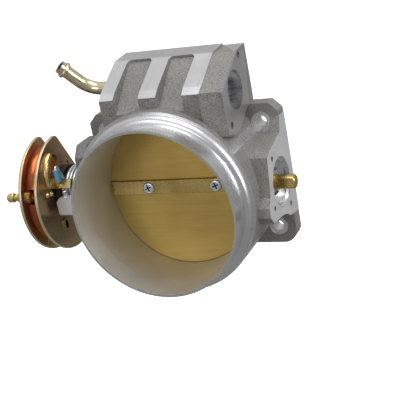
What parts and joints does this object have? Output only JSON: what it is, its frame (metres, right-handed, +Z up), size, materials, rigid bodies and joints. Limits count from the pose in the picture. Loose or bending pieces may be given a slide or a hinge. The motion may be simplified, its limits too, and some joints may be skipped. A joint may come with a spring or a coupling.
{
  "type": "throttle body",
  "caption": "Cable-driven engine throttle body: round bore with butterfly plate, bolt flange, ribbed air valve housing, grooved pulley, return spring and hose pipe.",
  "frame": {"origin": "centre of the main bore on the manifold flange's mounting face, which is also the centre of the bolt pattern", "axes": "+X along the throttle shaft towards the position sensor, +Y along the bore from the air inlet to the manifold, +Z up towards the air valve housing"},
  "size_m": [0.1878, 0.0841, 0.1457],
  "materials": {
    "cast_aluminium": "fine sand-cast skin with machined faces",
    "plated_tube": "bright pale yellow passivate",
    "bearing_steel": "ground",
    "seal_rubber": "matte",
    "black_nylon": "moulded",
    "spring_steel": "drawn wire",
    "blue_plastic": "smooth",
    "zinc_steel": "bright zinc",
    "shaft_steel": "ground, yellow passivate",
    "plate_brass": "satin rolled",
    "yellow_zinc": "zinc dichromate, iridescent"
  },
  "bodies": {
    "housing": {"throttle_housing": "cast_aluminium", "hose_pipe": "plated_tube", "sensor_side_bearing_outer_race": "bearing_steel", "sensor_side_bearing_balls": "bearing_steel", "sensor_side_bearing_seal": "seal_rubber", "pulley_side_bearing_outer_race": "bearing_steel", "pulley_side_bearing_balls": "bearing_steel", "pulley_side_bearing_seal": "seal_rubber", "spring_bush": "black_nylon", "return_spring": "spring_steel"},
    "throttle": {"throttle_shaft": "shaft_steel", "throttle_plate": "plate_brass", "throttle_plate_screws": "zinc_steel", "sensor_side_bearing_inner_race": "bearing_steel", "pulley_side_bearing_inner_race": "bearing_steel", "shaft_retaining_clip": "spring_steel", "pulley_inner_plate": "yellow_zinc", "pulley_drum": "yellow_zinc", "pulley_outer_plate": "yellow_zinc", "pulley_rivets": "yellow_zinc", "linkage_stud": "yellow_zinc", "pulley_washer": "yellow_zinc", "pulley_nut": "yellow_zinc", "return_spring_leg": "spring_steel", "spring_leg_sleeve": "blue_plastic"},
    "idle_stop": {"idle_stop_screw": "zinc_steel"}
  },
  "joints": [
    {"name": "throttle_turn", "type": "hinge", "parent": "housing", "child": "throttle", "pos_m": [0, -0.0233, 0], "axis": [-1, 0, 0], "range_deg": [0, 84], "stiffness_Nm_per_rad": 0.4, "springref_deg": -91.67, "deforming": ["return_spring"]},
    {"name": "idle_stop_adjust", "type": "slide", "parent": "housing", "child": "idle_stop", "axis": [0, 0, 1], "range_m": [-0.002, 0]}
  ]
}
